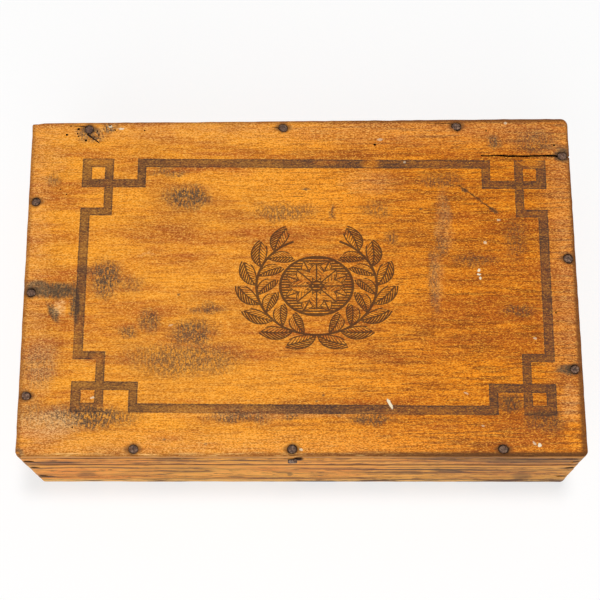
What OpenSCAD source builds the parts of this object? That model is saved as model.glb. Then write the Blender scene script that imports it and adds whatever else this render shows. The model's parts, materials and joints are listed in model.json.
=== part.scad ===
// Nailed wooden box with a framed lid on two butt hinges.
// The box is nailed up closed and then sawn apart, so the lid is a shallow tray
// that meets the base edge to edge. The origin is the middle of the footprint, on the
// floor. The front faces -Y and the hinges are behind the back face, at +Y.

/* [Box] */
// Width of the box
box_w = 300; // [240:1:400]
// Depth of the box, front to back
box_d = 190; // [150:1:260]
// Height of the base, from the floor to the saw cut
base_h = 57; // [45:1:90]
// Height of the lid above the saw cut
lid_h = 25; // [22:1:40]
// Radius of the worn upright corners
corner_r = 3.5; // [1:0.5:5]

/* [Boards] */
// Thickness of the front and back boards
side_t = 8; // [7:0.5:12]
// Thickness of the end boards
end_t = 8; // [7:0.5:12]
// Thickness of the lid's panel
panel_t = 6; // [5:0.5:9]
// Thickness of the bottom board
bottom_t = 8; // [6:0.5:12]
// Length of the panel's split, from its right end
split_len = 48; // [20:1:90]
// Width of the split where it opens at the end
split_w = 0.8; // [0.3:0.1:1.2]

/* [Nails] */
// Diameter of a nail's head
nail_head_d = 4.6; // [3.6:0.1:5.4]
// Thickness of a nail's head
nail_head_t = 1.2; // [0.8:0.1:1.6]
// Depth of a head's top below the board's face
nail_sink = 0.3; // [0.1:0.1:0.8]
// Diameter of a nail's shank
nail_d = 1.8; // [1.4:0.1:2.4]
// Length of a nail's point
nail_point = 3; // [2:0.5:5]
// Width of the blunt tip of a nail or screw
tip_d = 0.4; // [0.2:0.1:0.8]
// Length of the nails through the panel
panel_nail_len = 16; // [12:1:18]
// Length of the nails through the corners
corner_nail_len = 18; // [14:1:26]
// Length of the nails through the bottom
bottom_nail_len = 20; // [14:1:26]

/* [Panel nails] */
// Back edge: left nail, from the left end
back_nail_left = 32; // [20:1:60]
// Back edge: middle nail, from the middle
back_nail_mid = -9; // [-20:0.5:20]
// Back edge: right nail, from the right end
back_nail_right = 62; // [20:1:80]
// Front edge: left nail, from the left end
front_nail_left = 62; // [20:1:80]
// Front edge: middle nail, from the middle
front_nail_mid = -4.5; // [-20:0.5:20]
// Front edge: right nail, from the right end
front_nail_right = 44; // [20:1:80]
// Left edge: front nail, from the tip of the corner nail
left_nail_front = 15; // [4:1:30]
// Left edge: middle nail, from the middle
left_nail_mid = -4.5; // [-12:0.5:12]
// Left edge: back nail, from the tip of the corner nail
left_nail_back = 29; // [4:1:30]
// Right edge: front nail, from the tip of the corner nail
right_nail_front = 29; // [4:1:30]
// Right edge: middle nail, from the middle
right_nail_mid = 13.5; // [-12:0.5:14]
// Right edge: back nail, from the tip of the corner nail, and the split with it
right_nail_back = 4; // [4:1:20]

/* [Base nails] */
// Lower corner nail, up from the bottom board
base_nail_low = 12; // [8:1:16]
// Upper corner nail, down from the saw cut
base_nail_high = 9; // [7:1:14]
// Bottom nails under the front and back boards, from the ends
bottom_nail_long = 45; // [20:1:90]
// Bottom nails under the end boards, from the tip of the corner nail
bottom_nail_short = 22; // [4:1:40]

/* [Front stud] */
// Diameter of the stud's head
stud_head_d = 4.5; // [3.6:0.1:5.4]
// Height of the stud's head above the rail
stud_head_t = 1.2; // [0.8:0.1:2]
// Drop of the stud's middle below the panel
stud_drop = 3; // [2.7:0.1:8]

/* [Hinges] */
// Length of a hinge along its pin
hinge_len = 30; // [24:1:44]
// Distance from the box's end to the middle of a hinge
hinge_inset = 45; // [35:1:70]
// Width of a leaf, let into the rim
leaf_w = 6; // [5:0.5:6.5]
// Thickness of a leaf
leaf_t = 1.4; // [1:0.1:1.7]
// Radius of the knuckles
knuckle_r = 2; // [1.8:0.1:3]
// Diameter of a hinge pin
hinge_pin_d = 2; // [1.4:0.1:2.2]
// Diameter of a pin's riveted ends
pin_end_d = 3; // [2.6:0.1:3.4]
// Thickness of a pin's riveted ends
pin_end_t = 0.5; // [0.3:0.1:1]
// Diameter of a screw's head
screw_head_d = 3.4; // [2.8:0.1:3.8]
// Diameter of a screw's shank
screw_d = 1.8; // [1.4:0.1:2.2]
// Length of a screw
screw_len = 7; // [5:0.5:9]
// Distance between a leaf's two screws
screw_spacing = 15; // [10:0.5:18]
// Width of the slot in a screw's head
slot_w = 0.6; // [0.4:0.1:0.8]
// Depth of the slot in a screw's head
slot_depth = 0.4; // [0.2:0.1:0.5]

/* [Clearances] */
// Gap round a nail, screw, pin or leaf in its hole
hole_clear = 0.05; // [0.02:0.01:0.1]
// Room beyond a nail's or screw's tip
tip_clear = 0.3; // [0.1:0.1:0.6]
// Wood left between the stud's hole and the nail behind it
stud_web = 0.3; // [0.2:0.1:0.8]
// Gap between the two leaves of a closed hinge
leaf_gap = 0.3; // [0.2:0.1:0.4]
// Gap between neighbouring knuckles
knuckle_gap = 0.3; // [0.2:0.1:0.6]
// Gap between the back face and the knuckles
back_gap = 0.3; // [0.2:0.1:1]

/* [Hidden] */
$fn = 48;

panel_wood = [0.83, 0.53, 0.22];
edge_wood = [0.76, 0.47, 0.20];
bottom_wood = [0.72, 0.52, 0.30];
nail_iron = [0.27, 0.20, 0.16];
hinge_iron = [0.33, 0.28, 0.24];

box_h = base_h + lid_h;
panel_z = box_h - panel_t;
rail_h = lid_h - panel_t;
base_board_h = base_h - bottom_t;

// A nail stands in the middle of the board that it is driven into.
side_line = box_d / 2 - side_t / 2;
end_line = box_w / 2 - end_t / 2;
corner_tip = box_d / 2 - corner_nail_len;

panel_nail_places = [
    [-box_w / 2 + back_nail_left, side_line],
    [back_nail_mid, side_line],
    [box_w / 2 - back_nail_right, side_line],
    [-box_w / 2 + front_nail_left, -side_line],
    [front_nail_mid, -side_line],
    [box_w / 2 - front_nail_right, -side_line],
    [-end_line, -corner_tip + left_nail_front],
    [-end_line, left_nail_mid],
    [-end_line, corner_tip - left_nail_back],
    [end_line, -corner_tip + right_nail_front],
    [end_line, right_nail_mid],
    [end_line, corner_tip - right_nail_back]
];
bottom_nail_x = box_w / 2 - bottom_nail_long;
bottom_nail_y = corner_tip - bottom_nail_short;
lid_nail_heights = [base_h + rail_h / 2];
base_nail_heights = [bottom_t + base_nail_low, base_h - base_nail_high];

// The stud stops short of the panel nail that comes down behind it.
stud_z = panel_z - stud_drop;
stud_len = side_t / 2 - nail_d / 2 - 2 * hole_clear - stud_web;

hinge_x = box_w / 2 - hinge_inset;
axis_y = box_d / 2 + back_gap + knuckle_r;
knuckle_count = 3;
knuckle_pitch = hinge_len / knuckle_count;
knuckle_len = knuckle_pitch - knuckle_gap;
pin_len = hinge_len - knuckle_gap;
screw_x = screw_spacing / 2;
screw_y = box_d / 2 - leaf_w / 2;
screw_head_h = (screw_head_d - screw_d) / 2;
screw_point = screw_d;
leaf_low = leaf_gap / 2;
mortise_depth = leaf_low + leaf_t;

// Shared shapes

// Outline of the box seen from above, with its rounded corners.
module footprint() {
    square([box_w - 2 * corner_r, box_d], center = true);
    square([box_w, box_d - 2 * corner_r], center = true);
    for (x = [-1, 1], y = [-1, 1])
        translate([x * (box_w / 2 - corner_r), y * (box_d / 2 - corner_r)])
            circle(corner_r);
}

// A board across the full width, at the front (side -1) or the back (side 1).
module long_board(side, z, h) {
    intersection() {
        translate([0, 0, z])
            linear_extrude(h)
                footprint();
        translate([-box_w / 2, side * (box_d / 2 - side_t / 2) - side_t / 2, z])
            cube([box_w, side_t, h]);
    }
}

// A board between the long ones, at the left (side -1) or the right (side 1).
module end_board(side, z, h) {
    translate([side * end_line - end_t / 2, -box_d / 2 + side_t, z])
        cube([end_t, box_d - 2 * side_t, h]);
}

// A nail driven down from z = 0, with its head sunk.
module nail(len, grow = 0, extra = 0) {
    shank_top = -nail_sink - nail_head_t;
    translate([0, 0, shank_top])
        cylinder(d = nail_head_d + 2 * grow, h = nail_head_t + (extra > 0 ? nail_sink + extra : 0));
    translate([0, 0, -len + nail_point - extra])
        cylinder(d = nail_d + 2 * grow, h = len - nail_point + shank_top + extra);
    translate([0, 0, -len - extra])
        cylinder(d1 = tip_d + 2 * grow, d2 = nail_d + 2 * grow, h = nail_point);
}

// The hole that a nail makes, open at the face.
module nail_hole(len) {
    nail(len, hole_clear, tip_clear);
}

// Nails through the panel, and their holes.
module at_panel_nails() {
    for (p = panel_nail_places)
        translate([p[0], p[1], box_h])
            children();
}

// Nails up through the bottom board, into the long boards and into the ends.
module at_bottom_nails() {
    for (x = [-bottom_nail_x, 0, bottom_nail_x], y = [-side_line, side_line])
        translate([x, y, 0])
            rotate([180, 0, 0])
                children();
    for (x = [-end_line, end_line], y = [-bottom_nail_y, bottom_nail_y])
        translate([x, y, 0])
            rotate([180, 0, 0])
                children();
}

// Nails through the front and back boards into the ends, at the given heights.
module at_corner_nails(heights) {
    for (x = [-end_line, end_line], z = heights, side = [-1, 1])
        translate([x, side * box_d / 2, z])
            rotate([-90 * side, 0, 0])
                children();
}

// The short stud in the lid's front edge, driven in from -Y.
module at_stud() {
    translate([front_nail_mid, -box_d / 2, stud_z])
        rotate([90, 0, 0])
            children();
}

// Screws of both hinges. They point up into the lid (way 1) or down into the base (way -1).
module at_screws(way) {
    for (x = [-hinge_x - screw_x, -hinge_x + screw_x, hinge_x - screw_x, hinge_x + screw_x])
        translate([x, screw_y, base_h + way * leaf_low])
            rotate([way > 0 ? 0 : 180, 0, 0])
                children();
}

// A countersunk screw with its head's face at z = 0, pointing up.
module screw_body(grow = 0, extra = 0) {
    cylinder(d1 = screw_head_d + 2 * grow, d2 = screw_d + 2 * grow, h = screw_head_h);
    translate([0, 0, screw_head_h])
        cylinder(d = screw_d + 2 * grow, h = screw_len - screw_head_h - screw_point + extra);
    translate([0, 0, screw_len - screw_point + extra])
        cylinder(d1 = screw_d + 2 * grow, d2 = tip_d + 2 * grow, h = screw_point);
}

module screw() {
    difference() {
        screw_body();
        translate([-screw_head_d / 2, -slot_w / 2, -slot_depth])
            cube([screw_head_d, slot_w, 2 * slot_depth]);
    }
}

module screw_hole() {
    screw_body(hole_clear, tip_clear);
}

// The recesses for both hinges' leaves in the lid's rim (way 1) or the base's rim (way -1).
module mortises(way) {
    for (x = [-hinge_x, hinge_x])
        translate([x, box_d / 2 - leaf_w, base_h + way * mortise_depth / 2])
            translate([-hinge_len / 2 - hole_clear, -hole_clear, -mortise_depth / 2])
                cube([hinge_len + 2 * hole_clear, leaf_w + 2 * hole_clear, mortise_depth]);
}

// One leaf above the saw cut, with a knuckle at each listed step along the pin.
module leaf(x, steps) {
    translate([x, 0, base_h])
        difference() {
            union() {
                translate([-hinge_len / 2, box_d / 2 - leaf_w, leaf_low])
                    cube([hinge_len, leaf_w, leaf_t]);
                for (step = steps)
                    translate([step * knuckle_pitch - knuckle_len / 2, 0, 0]) {
                        translate([0, box_d / 2, leaf_low])
                            cube([knuckle_len, axis_y - box_d / 2, leaf_t]);
                        translate([0, axis_y, 0])
                            rotate([0, 90, 0])
                                cylinder(r = knuckle_r, h = knuckle_len);
                    }
            }
            translate([-hinge_len / 2, axis_y, 0])
                rotate([0, 90, 0])
                    cylinder(d = hinge_pin_d + 2 * hole_clear, h = hinge_len);
            for (s = [-screw_x, screw_x])
                translate([s, screw_y, leaf_low])
                    screw_hole();
        }
}

// The same leaf turned over, below the saw cut.
module under_leaf(x, steps) {
    translate([0, 0, 2 * base_h])
        mirror([0, 0, 1])
            leaf(x, steps);
}

// A hinge pin with both ends riveted over the outer knuckles.
module hinge_pin(x) {
    translate([x, axis_y, base_h])
        rotate([0, 90, 0]) {
            translate([0, 0, -pin_len / 2])
                cylinder(d = hinge_pin_d, h = pin_len);
            for (end = [-pin_len / 2 - pin_end_t, pin_len / 2])
                translate([0, 0, end])
                    cylinder(d = pin_end_d, h = pin_end_t);
        }
}

// The split along the grain, from the panel's right end through the last nail.
module panel_split() {
    translate([box_w / 2, corner_tip - right_nail_back, panel_z])
        linear_extrude(panel_t)
            polygon([[0, -split_w / 2], [0, split_w / 2], [-split_len, 0]]);
}

// The lid

module lid_panel() {
    color(panel_wood)
        difference() {
            translate([0, 0, panel_z])
                linear_extrude(panel_t)
                    footprint();
            at_panel_nails() nail_hole(panel_nail_len);
            panel_split();
        }
}

module lid_front_rail() {
    color(edge_wood)
        difference() {
            long_board(-1, base_h, rail_h);
            at_panel_nails() nail_hole(panel_nail_len);
            at_corner_nails(lid_nail_heights) nail_hole(corner_nail_len);
            at_stud()
                translate([0, 0, -stud_len - hole_clear])
                    cylinder(d = nail_d + 2 * hole_clear, h = stud_len + 2 * hole_clear);
        }
}

module lid_back_rail() {
    color(edge_wood)
        difference() {
            long_board(1, base_h, rail_h);
            at_panel_nails() nail_hole(panel_nail_len);
            at_corner_nails(lid_nail_heights) nail_hole(corner_nail_len);
            mortises(1);
            at_screws(1) screw_hole();
        }
}

module lid_end(side) {
    color(edge_wood)
        difference() {
            end_board(side, base_h, rail_h);
            at_panel_nails() nail_hole(panel_nail_len);
            at_corner_nails(lid_nail_heights) nail_hole(corner_nail_len);
        }
}

module lid_left_end() {
    lid_end(-1);
}

module lid_right_end() {
    lid_end(1);
}

module lid_panel_nails() {
    color(nail_iron)
        at_panel_nails() nail(panel_nail_len);
}

module lid_corner_nails() {
    color(nail_iron)
        at_corner_nails(lid_nail_heights) nail(corner_nail_len);
}

module lid_front_stud() {
    color(nail_iron)
        at_stud() {
            cylinder(d = stud_head_d, h = stud_head_t);
            translate([0, 0, -stud_len])
                cylinder(d = nail_d, h = stud_len);
        }
}

module left_hinge_lid_leaf() {
    color(hinge_iron)
        leaf(-hinge_x, [0]);
}

module right_hinge_lid_leaf() {
    color(hinge_iron)
        leaf(hinge_x, [0]);
}

module lid_hinge_screws() {
    color(nail_iron)
        at_screws(1) screw();
}

// The base

module base_front() {
    color(edge_wood)
        difference() {
            long_board(-1, bottom_t, base_board_h);
            at_corner_nails(base_nail_heights) nail_hole(corner_nail_len);
            at_bottom_nails() nail_hole(bottom_nail_len);
        }
}

module base_back() {
    color(edge_wood)
        difference() {
            long_board(1, bottom_t, base_board_h);
            at_corner_nails(base_nail_heights) nail_hole(corner_nail_len);
            at_bottom_nails() nail_hole(bottom_nail_len);
            mortises(-1);
            at_screws(-1) screw_hole();
        }
}

module base_end(side) {
    color(edge_wood)
        difference() {
            end_board(side, bottom_t, base_board_h);
            at_corner_nails(base_nail_heights) nail_hole(corner_nail_len);
            at_bottom_nails() nail_hole(bottom_nail_len);
        }
}

module base_left_end() {
    base_end(-1);
}

module base_right_end() {
    base_end(1);
}

module bottom_board() {
    color(bottom_wood)
        difference() {
            linear_extrude(bottom_t)
                footprint();
            at_bottom_nails() nail_hole(bottom_nail_len);
        }
}

module bottom_nails() {
    color(nail_iron)
        at_bottom_nails() nail(bottom_nail_len);
}

module base_corner_nails() {
    color(nail_iron)
        at_corner_nails(base_nail_heights) nail(corner_nail_len);
}

module left_hinge_base_leaf() {
    color(hinge_iron)
        under_leaf(-hinge_x, [-1, 1]);
}

module right_hinge_base_leaf() {
    color(hinge_iron)
        under_leaf(hinge_x, [-1, 1]);
}

module base_hinge_screws() {
    color(nail_iron)
        at_screws(-1) screw();
}

module left_hinge_pin() {
    color(hinge_iron)
        hinge_pin(-hinge_x);
}

module right_hinge_pin() {
    color(hinge_iron)
        hinge_pin(hinge_x);
}

lid_panel();
lid_front_rail();
lid_back_rail();
lid_left_end();
lid_right_end();
lid_panel_nails();
lid_corner_nails();
lid_front_stud();
left_hinge_lid_leaf();
right_hinge_lid_leaf();
lid_hinge_screws();
base_front();
base_back();
base_left_end();
base_right_end();
bottom_board();
bottom_nails();
base_corner_nails();
left_hinge_base_leaf();
right_hinge_base_leaf();
base_hinge_screws();
left_hinge_pin();
right_hinge_pin();
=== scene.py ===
import json
import math
import random

import bmesh
import bpy
from mathutils import Matrix, Vector


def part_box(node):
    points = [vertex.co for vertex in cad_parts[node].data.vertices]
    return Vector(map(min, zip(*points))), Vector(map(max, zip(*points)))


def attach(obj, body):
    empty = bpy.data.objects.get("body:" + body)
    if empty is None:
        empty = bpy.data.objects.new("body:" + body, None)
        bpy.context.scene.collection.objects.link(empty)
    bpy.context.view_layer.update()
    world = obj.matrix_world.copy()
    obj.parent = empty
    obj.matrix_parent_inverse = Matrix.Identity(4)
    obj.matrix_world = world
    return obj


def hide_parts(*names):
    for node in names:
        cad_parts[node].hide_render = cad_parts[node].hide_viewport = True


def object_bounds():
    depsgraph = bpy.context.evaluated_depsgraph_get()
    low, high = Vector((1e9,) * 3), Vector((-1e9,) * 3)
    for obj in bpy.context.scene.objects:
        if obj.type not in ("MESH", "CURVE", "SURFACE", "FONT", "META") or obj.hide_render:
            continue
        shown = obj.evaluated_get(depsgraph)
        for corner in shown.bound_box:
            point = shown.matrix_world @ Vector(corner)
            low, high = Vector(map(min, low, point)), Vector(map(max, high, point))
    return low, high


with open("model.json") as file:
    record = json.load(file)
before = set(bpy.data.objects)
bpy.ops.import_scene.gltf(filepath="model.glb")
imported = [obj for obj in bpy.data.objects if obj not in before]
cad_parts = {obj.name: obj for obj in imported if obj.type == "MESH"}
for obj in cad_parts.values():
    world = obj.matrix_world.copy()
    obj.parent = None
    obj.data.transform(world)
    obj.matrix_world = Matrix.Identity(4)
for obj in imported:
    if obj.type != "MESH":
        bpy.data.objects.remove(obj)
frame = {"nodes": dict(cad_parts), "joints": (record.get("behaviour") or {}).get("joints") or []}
cad_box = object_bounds()


# Bottom board: one softwood plank as large as the box, nailed up into the sides from
# beneath. Its edges were varnished with the box, but both faces are bare wood, dusty
# inside and greyed and scuffed underneath.
MM = 0.001
# The box's corners: right or left, back or front, how round, and how far the old box is out of true there.
CORNERS = (
    (-1, -1, 2.2 * MM, (-0.8 * MM, 0.0)), (1, -1, 3.2 * MM, (1.7 * MM, -0.7 * MM)),
    (-1, 1, 1.8 * MM, (-0.5 * MM, -0.3 * MM)), (1, 1, 4.0 * MM, (-0.5 * MM, 0.8 * MM)),
)
# In millimetres: the box's height, and half its width and depth.
box_height = cad_box[1][2] / MM
half_width = cad_box[1][0] / MM
half_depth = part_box("lid_panel")[1][1] / MM
# Edges sharper than the first angle are eased, and faces that meet at less than the second shaded as one.
SHARP = math.radians(40)
SMOOTH = math.radians(38)


class Paint:
    """A shader socket that stands in Python sums: each sum adds its Math node."""

    def __init__(self, tree, socket=None):
        self.tree = tree
        self.socket = socket

    def wire(self, node, sockets):
        for name, value in sockets.items():
            if isinstance(value, Paint):
                self.tree.links.new(value.socket, node.inputs[name])
            else:
                node.inputs[name].default_value = value

    def add(self, kind, settings, sockets, out=0):
        """Adds a node of any kind: first its settings, then what its sockets hold."""
        node = self.tree.nodes.new(kind)
        for name, value in settings.items():
            setattr(node, name, value)
        self.wire(node, sockets)
        return Paint(self.tree, node.outputs[out])

    def other(self, out):
        return Paint(self.tree, self.socket.node.outputs[out])

    def maths(self, operation, *values):
        return self.add("ShaderNodeMath", {"operation": operation}, dict(enumerate(values)))

    def ease(self, start, end):
        """Goes softly from 0 at start to 1 at end."""
        sockets = {"Value": self, "From Min": start, "From Max": end}
        return self.add("ShaderNodeMapRange", {"interpolation_type": "SMOOTHSTEP"}, sockets)

    def between(self, first, second):
        """The colour that lies between two others, the first at 0 and the second at 1."""
        return self.add("ShaderNodeMix", {"data_type": "RGBA"}, {0: self, 6: first, 7: second}, 2)

    def __add__(self, other):
        return self.maths("ADD", self, other)

    def __sub__(self, other):
        return self.maths("SUBTRACT", self, other)

    def __rsub__(self, other):
        return self.maths("SUBTRACT", other, self)

    def __mul__(self, other):
        return self.maths("MULTIPLY", self, other)

    def __truediv__(self, other):
        return self.maths("DIVIDE", self, other)

    def __pow__(self, other):
        return self.maths("POWER", self, other)

    def __lt__(self, other):
        return self.maths("LESS_THAN", self, other)

    def __gt__(self, other):
        return self.maths("GREATER_THAN", self, other)

    def __and__(self, other):
        return self.maths("MINIMUM", self, other)

    def __or__(self, other):
        return self.maths("MAXIMUM", self, other)

    def __abs__(self):
        return self.maths("ABSOLUTE", self)

    __radd__ = __add__
    __rmul__ = __mul__


def tone(red, green, blue):
    """A colour as it is read off a screen, turned into the light that a shader works in."""
    return tuple(((level / 255 + 0.055) / 1.055) ** 2.4 for level in (red, green, blue)) + (1.0,)


def mottle(x, y, z, detail=2.0, roughness=0.5):
    """Cloudy noise between 0 and 1, about one cloud to a unit."""
    place = x.add("ShaderNodeCombineXYZ", {}, {"X": x, "Y": y, "Z": z})
    sockets = {"Vector": place, "Scale": 1.0, "Detail": detail, "Roughness": roughness}
    return place.add("ShaderNodeTexNoise", {}, sockets)


def new_finish(name):
    """A new material, with the piece's x, y and z in millimetres and the way its surface faces."""
    finish = bpy.data.materials.new(name)
    finish.use_nodes = True
    coords = Paint(finish.node_tree).add("ShaderNodeTexCoord", {}, {}, "Object")
    place = coords.add("ShaderNodeSeparateXYZ", {}, {0: coords})
    facing = coords.add("ShaderNodeSeparateXYZ", {}, {0: coords.other("Normal")})
    places = [place.other(axis) * (1 / MM) for axis in "XYZ"]
    return finish, places, [facing.other(axis) for axis in "XYZ"]


def complete(finish, colour, roughness, height, depth, gloss, metal=0.0):
    """Joins a finish's colour, roughness and height to its shader."""
    shader = finish.node_tree.nodes["Principled BSDF"]
    bump = height.add("ShaderNodeBump", {}, {"Strength": 1.0, "Distance": depth, "Height": height})
    sockets = {"Base Color": colour, "Roughness": roughness, "Normal": bump}
    colour.wire(shader, {**sockets, "Specular IOR Level": gloss, "Metallic": metal})


def timber(along, across, up, heart, light, mid, dark, ringed):
    """Sawn wood: growth rings round a heart line, and fibres that run along it.

    The heart is the line's place across and up, and the width of a ring."""
    sway = mottle(along * 0.005, across * 0.02, up * 0.02)
    ring = ((across - heart[0]) ** 2 + (up - heart[1]) ** 2) ** 0.5 / heart[2] + sway * 6
    part = ring.maths("FRACT", ring)
    patch = mottle(along * 0.011, across * 0.035, up * 0.035)
    late = part.ease(0.25, 0.9) * part.ease(1.0, 0.93) * patch.ease(0.15, 0.75)
    fibre = mottle(along * 0.08, across * 1.05, up * 1.05, 3.0, 0.62)
    colour = patch.ease(0.3, 0.7).between(light, mid)
    colour = (late * ringed).between(colour, dark)
    colour = (fibre.ease(0.54, 0.74) * 0.6).between(colour, dark)
    colour = (fibre.ease(0.44, 0.28) * 0.5).between(colour, light)
    return colour, late, fibre


def bare(along, across, up, heart):
    """Unvarnished wood that has browned with age."""
    light, mid, dark = tone(214, 176, 126), tone(194, 150, 100), tone(136, 94, 54)
    return timber(along, across, up, heart, light, mid, dark, 0.6)


def hold(piece):
    """Makes a piece the one that the operators work on."""
    bpy.ops.object.select_all(action="DESELECT")
    piece.select_set(True)
    bpy.context.view_layer.objects.active = piece


def pick(piece, kind, test):
    """In edit mode, selects just the edges or faces that pass the test."""
    bpy.ops.mesh.select_mode(type=kind)
    bpy.ops.mesh.select_all(action="DESELECT")
    form = bmesh.from_edit_mesh(piece.data)
    for part in form.edges if kind == "EDGE" else form.faces:
        part.select_set(test(part))
    bmesh.update_edit_mesh(piece.data)


def score(low, high, axis, step):
    """In edit mode, cuts lines across the piece at even steps along one axis."""
    count = max(1, round((high[axis] - low[axis]) / step))
    across = [float(i == axis) for i in range(3)]
    for cut in range(1, count):
        bpy.ops.mesh.select_all(action="SELECT")
        point = [0.0, 0.0, 0.0]
        point[axis] = low[axis] + (high[axis] - low[axis]) * cut / count
        bpy.ops.mesh.bisect(plane_co=point, plane_no=across)


def wear(piece, size, depth, group="", way="NORMAL"):
    """Pushes the surface in and out, or one way, by a cloudy pattern, as handling and drying do."""
    cloud = bpy.data.textures.new(piece.name + "_wear", "CLOUDS")
    cloud.noise_scale = size
    shift = piece.modifiers.new("wear", "DISPLACE")
    shift.texture = cloud
    shift.texture_coords = "LOCAL"
    shift.direction = way
    shift.strength = depth
    shift.mid_level = 0.4 if group else 0.5
    shift.vertex_group = group
    bpy.ops.object.modifier_apply(modifier="wear")


def out_of_true(x, y):
    """How far a place on the box has moved from square, by its nearness to each corner."""
    moved = Vector((0, 0, 0))
    for right, back, _, (shift_x, shift_y) in CORNERS:
        nearness = (1 + right * x / (half_width * MM)) * (1 + back * y / (half_depth * MM)) / 4
        moved += Vector((shift_x, shift_y, 0)) * nearness
    return moved


def plank(name, node, eased=0.6 * MM, step=5 * MM):
    """A worn plank in its frame node's place: turned corners, eased edges and slightly uneven faces."""
    thin, slack = 12 * MM, 0.1
    low, high = (Vector(end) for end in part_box(node))
    middle = (low + high) / 2
    bpy.ops.object.select_all(action="DESELECT")
    bpy.ops.mesh.primitive_cube_add(size=1, location=middle)
    piece = bpy.context.object
    piece.name = name
    piece.scale = high - low
    bpy.ops.object.transform_apply(location=True, rotation=True, scale=True)
    bpy.ops.object.mode_set(mode="EDIT")
    for right, back, turn, _ in CORNERS:
        pick(piece, "EDGE", lambda edge: all(
            (end.co.x - middle.x) * right > 0 and (end.co.y - middle.y) * back > 0 for end in edge.verts))
        corner_x, corner_y = (high if right > 0 else low).x, (high if back > 0 else low).y
        bpy.ops.transform.translate(value=out_of_true(corner_x, corner_y))
        if abs(corner_x) > (half_width - slack) * MM and abs(corner_y) > (half_depth - slack) * MM:
            bpy.ops.mesh.bevel(offset=turn, segments=6, affect="EDGES")
    bpy.ops.mesh.select_all(action="DESELECT")
    bpy.ops.mesh.edges_select_sharp(sharpness=SHARP)
    bpy.ops.mesh.bevel(offset=eased, segments=3, affect="EDGES")
    bpy.ops.object.vertex_group_add()
    bpy.ops.object.vertex_group_assign()
    for axis in range(3):
        if high[axis] - low[axis] > thin:
            score(low, high, axis, step)
    bpy.ops.object.mode_set(mode="OBJECT")
    wear(piece, 26 * MM, 0.3 * MM)
    wear(piece, 5 * MM, -0.5 * MM, "Group")
    piece.vertex_groups.clear()
    return piece


def carve(piece, cutter):
    """Cuts one shape out of a piece, and throws the cutter away."""
    hold(piece)
    cut = piece.modifiers.new("cut", "BOOLEAN")
    cut.operation = "DIFFERENCE"
    cut.solver = "MANIFOLD"
    cut.object = cutter
    bpy.ops.object.modifier_apply(modifier="cut")
    piece.data.materials.clear()
    bpy.data.objects.remove(cutter)


def nail_places(node, way, facing):
    """The middle of each head of a frame node's nails, and the way it faces, told apart by place."""
    longest, widest = 30 * MM, 7 * MM
    spots = []
    for point in frame["nodes"][node].data.vertices:
        for low, high in spots:
            if all(abs(point.co[i] - low[i]) < (longest if i == way else widest) for i in range(3)):
                for i in range(3):
                    low[i] = min(low[i], point.co[i])
                    high[i] = max(high[i], point.co[i])
                break
        else:
            spots.append((point.co.copy(), point.co.copy()))
    places = []
    for low, high in spots:
        middle = (low + high) / 2
        front = facing(middle)
        middle[way] = high[way] if front[way] > 0 else low[way]
        places.append((middle + out_of_true(middle.x, middle.y), front))
    return places


def joined(parts):
    """Makes one object of several."""
    hold(parts[0])
    for part in parts:
        part.select_set(True)
    bpy.ops.object.join()
    return parts[0]


def set_out(model, name, places):
    """Copies a model to each place, a little oval and each turned differently, and joins the copies."""
    full_turn, most_tilt, slimmest = 6.28, 0.05, 0.84
    chance = random.Random(name)
    oval = Matrix.Diagonal((1.16, 0.94, 1, 1))
    copies = []
    for point, facing in places:
        copy = model.copy()
        copy.data = model.data.copy()
        bpy.context.collection.objects.link(copy)
        turned = Vector((0, 0, 1)).rotation_difference(facing).to_matrix().to_4x4()
        roll = Matrix.Rotation(chance.uniform(0, full_turn), 4, "Z")
        tilt = Matrix.Rotation(chance.uniform(-most_tilt, most_tilt), 4, "X")
        slim = Matrix.Diagonal((chance.uniform(slimmest, 1.0), chance.uniform(slimmest, 1.0), 1, 1))
        copy.matrix_world = Matrix.Translation(point) @ turned @ oval @ (roll @ tilt) @ slim
        copies.append(copy)
    bpy.data.objects.remove(model)
    piece = joined(copies)
    bpy.ops.object.transform_apply(location=True, rotation=True, scale=True)
    piece.name = name
    return piece


def disc(sides, radius, thick, middle):
    """A plain disc that lies flat, for a shape to start from, left in edit mode."""
    bpy.ops.object.select_all(action="DESELECT")
    bpy.ops.mesh.primitive_cylinder_add(vertices=sides, radius=radius, depth=thick, location=middle)
    piece = bpy.context.object
    bpy.ops.object.transform_apply(location=True)
    bpy.ops.object.mode_set(mode="EDIT")
    return piece


def dents(places):
    """Cutters for the crushed hollows in which nail heads sit: a straight hole under a shallow dish."""
    hole_r, hole_deep, hole_middle = 2.6 * MM, 1.2 * MM, -1.0 * MM
    dish_deep, dish_spread = 0.8 * MM, (1.7, 1.5, 1)
    model = disc(20, hole_r, hole_deep, (0, 0, hole_middle))
    pick(model, "FACE", lambda face: face.normal.z > 0.9)
    bpy.ops.mesh.extrude_region_move(TRANSFORM_OT_translate={"value": (0, 0, dish_deep)})
    bpy.ops.transform.resize(value=dish_spread)
    bpy.ops.object.mode_set(mode="OBJECT")
    wear(model, 1.5 * MM, 0.25 * MM)
    return set_out(model, "dents", places)


def up_or_down(middle):
    """The way a head faces: up in the lid, and down in the bottom."""
    return Vector((0, 0, 1 if middle.z > box_height * MM / 2 else -1))


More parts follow.
